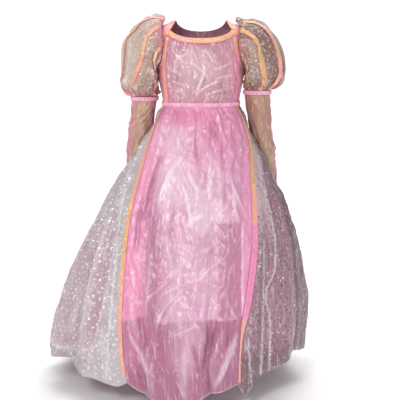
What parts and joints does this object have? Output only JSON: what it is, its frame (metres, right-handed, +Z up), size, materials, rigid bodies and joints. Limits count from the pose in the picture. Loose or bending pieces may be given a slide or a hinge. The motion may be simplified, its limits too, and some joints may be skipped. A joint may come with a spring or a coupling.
{
  "type": "child's princess costume dress",
  "caption": "Worn child's princess dress: fitted bodice with ribbon trim, puffed sleeves above long narrow sleeves, and a full floor-length layered skirt, hollow.",
  "frame": {"origin": "middle of the shoulder line, between the two neck points, where the wearer's shoulders hold the dress up", "axes": "+Z up, towards the wearer's head; -Y towards the front of the dress; +X towards the viewer's right"},
  "size_m": [0.6763, 0.5723, 0.9014],
  "materials": {
    "bodice_satin": "crinkled shiny pink satin organza",
    "side_satin": "deep rose satin",
    "front_organza": "crinkled shiny pink organza",
    "glitter_organza": "sheer organza with foil dots",
    "sleeve_organza": "sheer pink organza",
    "lining_satin": "smooth pink lining satin",
    "petticoat_net": "stiff pale pink net",
    "sequin_ribbon": "iridescent sequin ribbon",
    "elastic": "gathered pink elastic"
  },
  "bodies": {
    "root": {"bodice_front": "bodice_satin", "neck_ribbon_front": "sequin_ribbon", "neck_ribbon_back": "sequin_ribbon", "back_placket": "bodice_satin", "waist_band": "elastic", "skirt_front_panel": "front_organza", "skirt_lining_front": "lining_satin", "petticoat_front": "petticoat_net", "skirt_lining_right": "lining_satin", "petticoat_right": "petticoat_net", "skirt_lining_back": "lining_satin", "petticoat_back": "petticoat_net", "skirt_lining_left": "lining_satin", "petticoat_left": "petticoat_net", "bodice_side_left": "side_satin", "bodice_back_left": "bodice_satin", "neck_ribbon_left": "sequin_ribbon", "princess_ribbon_left": "sequin_ribbon", "puff_left": "glitter_organza", "puff_ribbon_front_inner_left": "sequin_ribbon", "puff_ribbon_front_left": "sequin_ribbon", "puff_ribbon_outer_left": "sequin_ribbon", "puff_ribbon_rear_left": "sequin_ribbon", "puff_ribbon_rear_inner_left": "sequin_ribbon", "long_sleeve_left": "sleeve_organza", "sleeve_band_left": "elastic", "glitter_skirt_side_left": "glitter_organza", "glitter_skirt_back_left": "glitter_organza", "skirt_ribbon_left": "sequin_ribbon", "bodice_side_right": "side_satin", "bodice_back_right": "bodice_satin", "neck_ribbon_right": "sequin_ribbon", "princess_ribbon_right": "sequin_ribbon", "puff_right": "glitter_organza", "puff_ribbon_front_inner_right": "sequin_ribbon", "puff_ribbon_front_right": "sequin_ribbon", "puff_ribbon_outer_right": "sequin_ribbon", "puff_ribbon_rear_right": "sequin_ribbon", "puff_ribbon_rear_inner_right": "sequin_ribbon", "long_sleeve_right": "sleeve_organza", "sleeve_band_right": "elastic", "glitter_skirt_side_right": "glitter_organza", "glitter_skirt_back_right": "glitter_organza", "skirt_ribbon_right": "sequin_ribbon"}
  },
  "joints": []
}
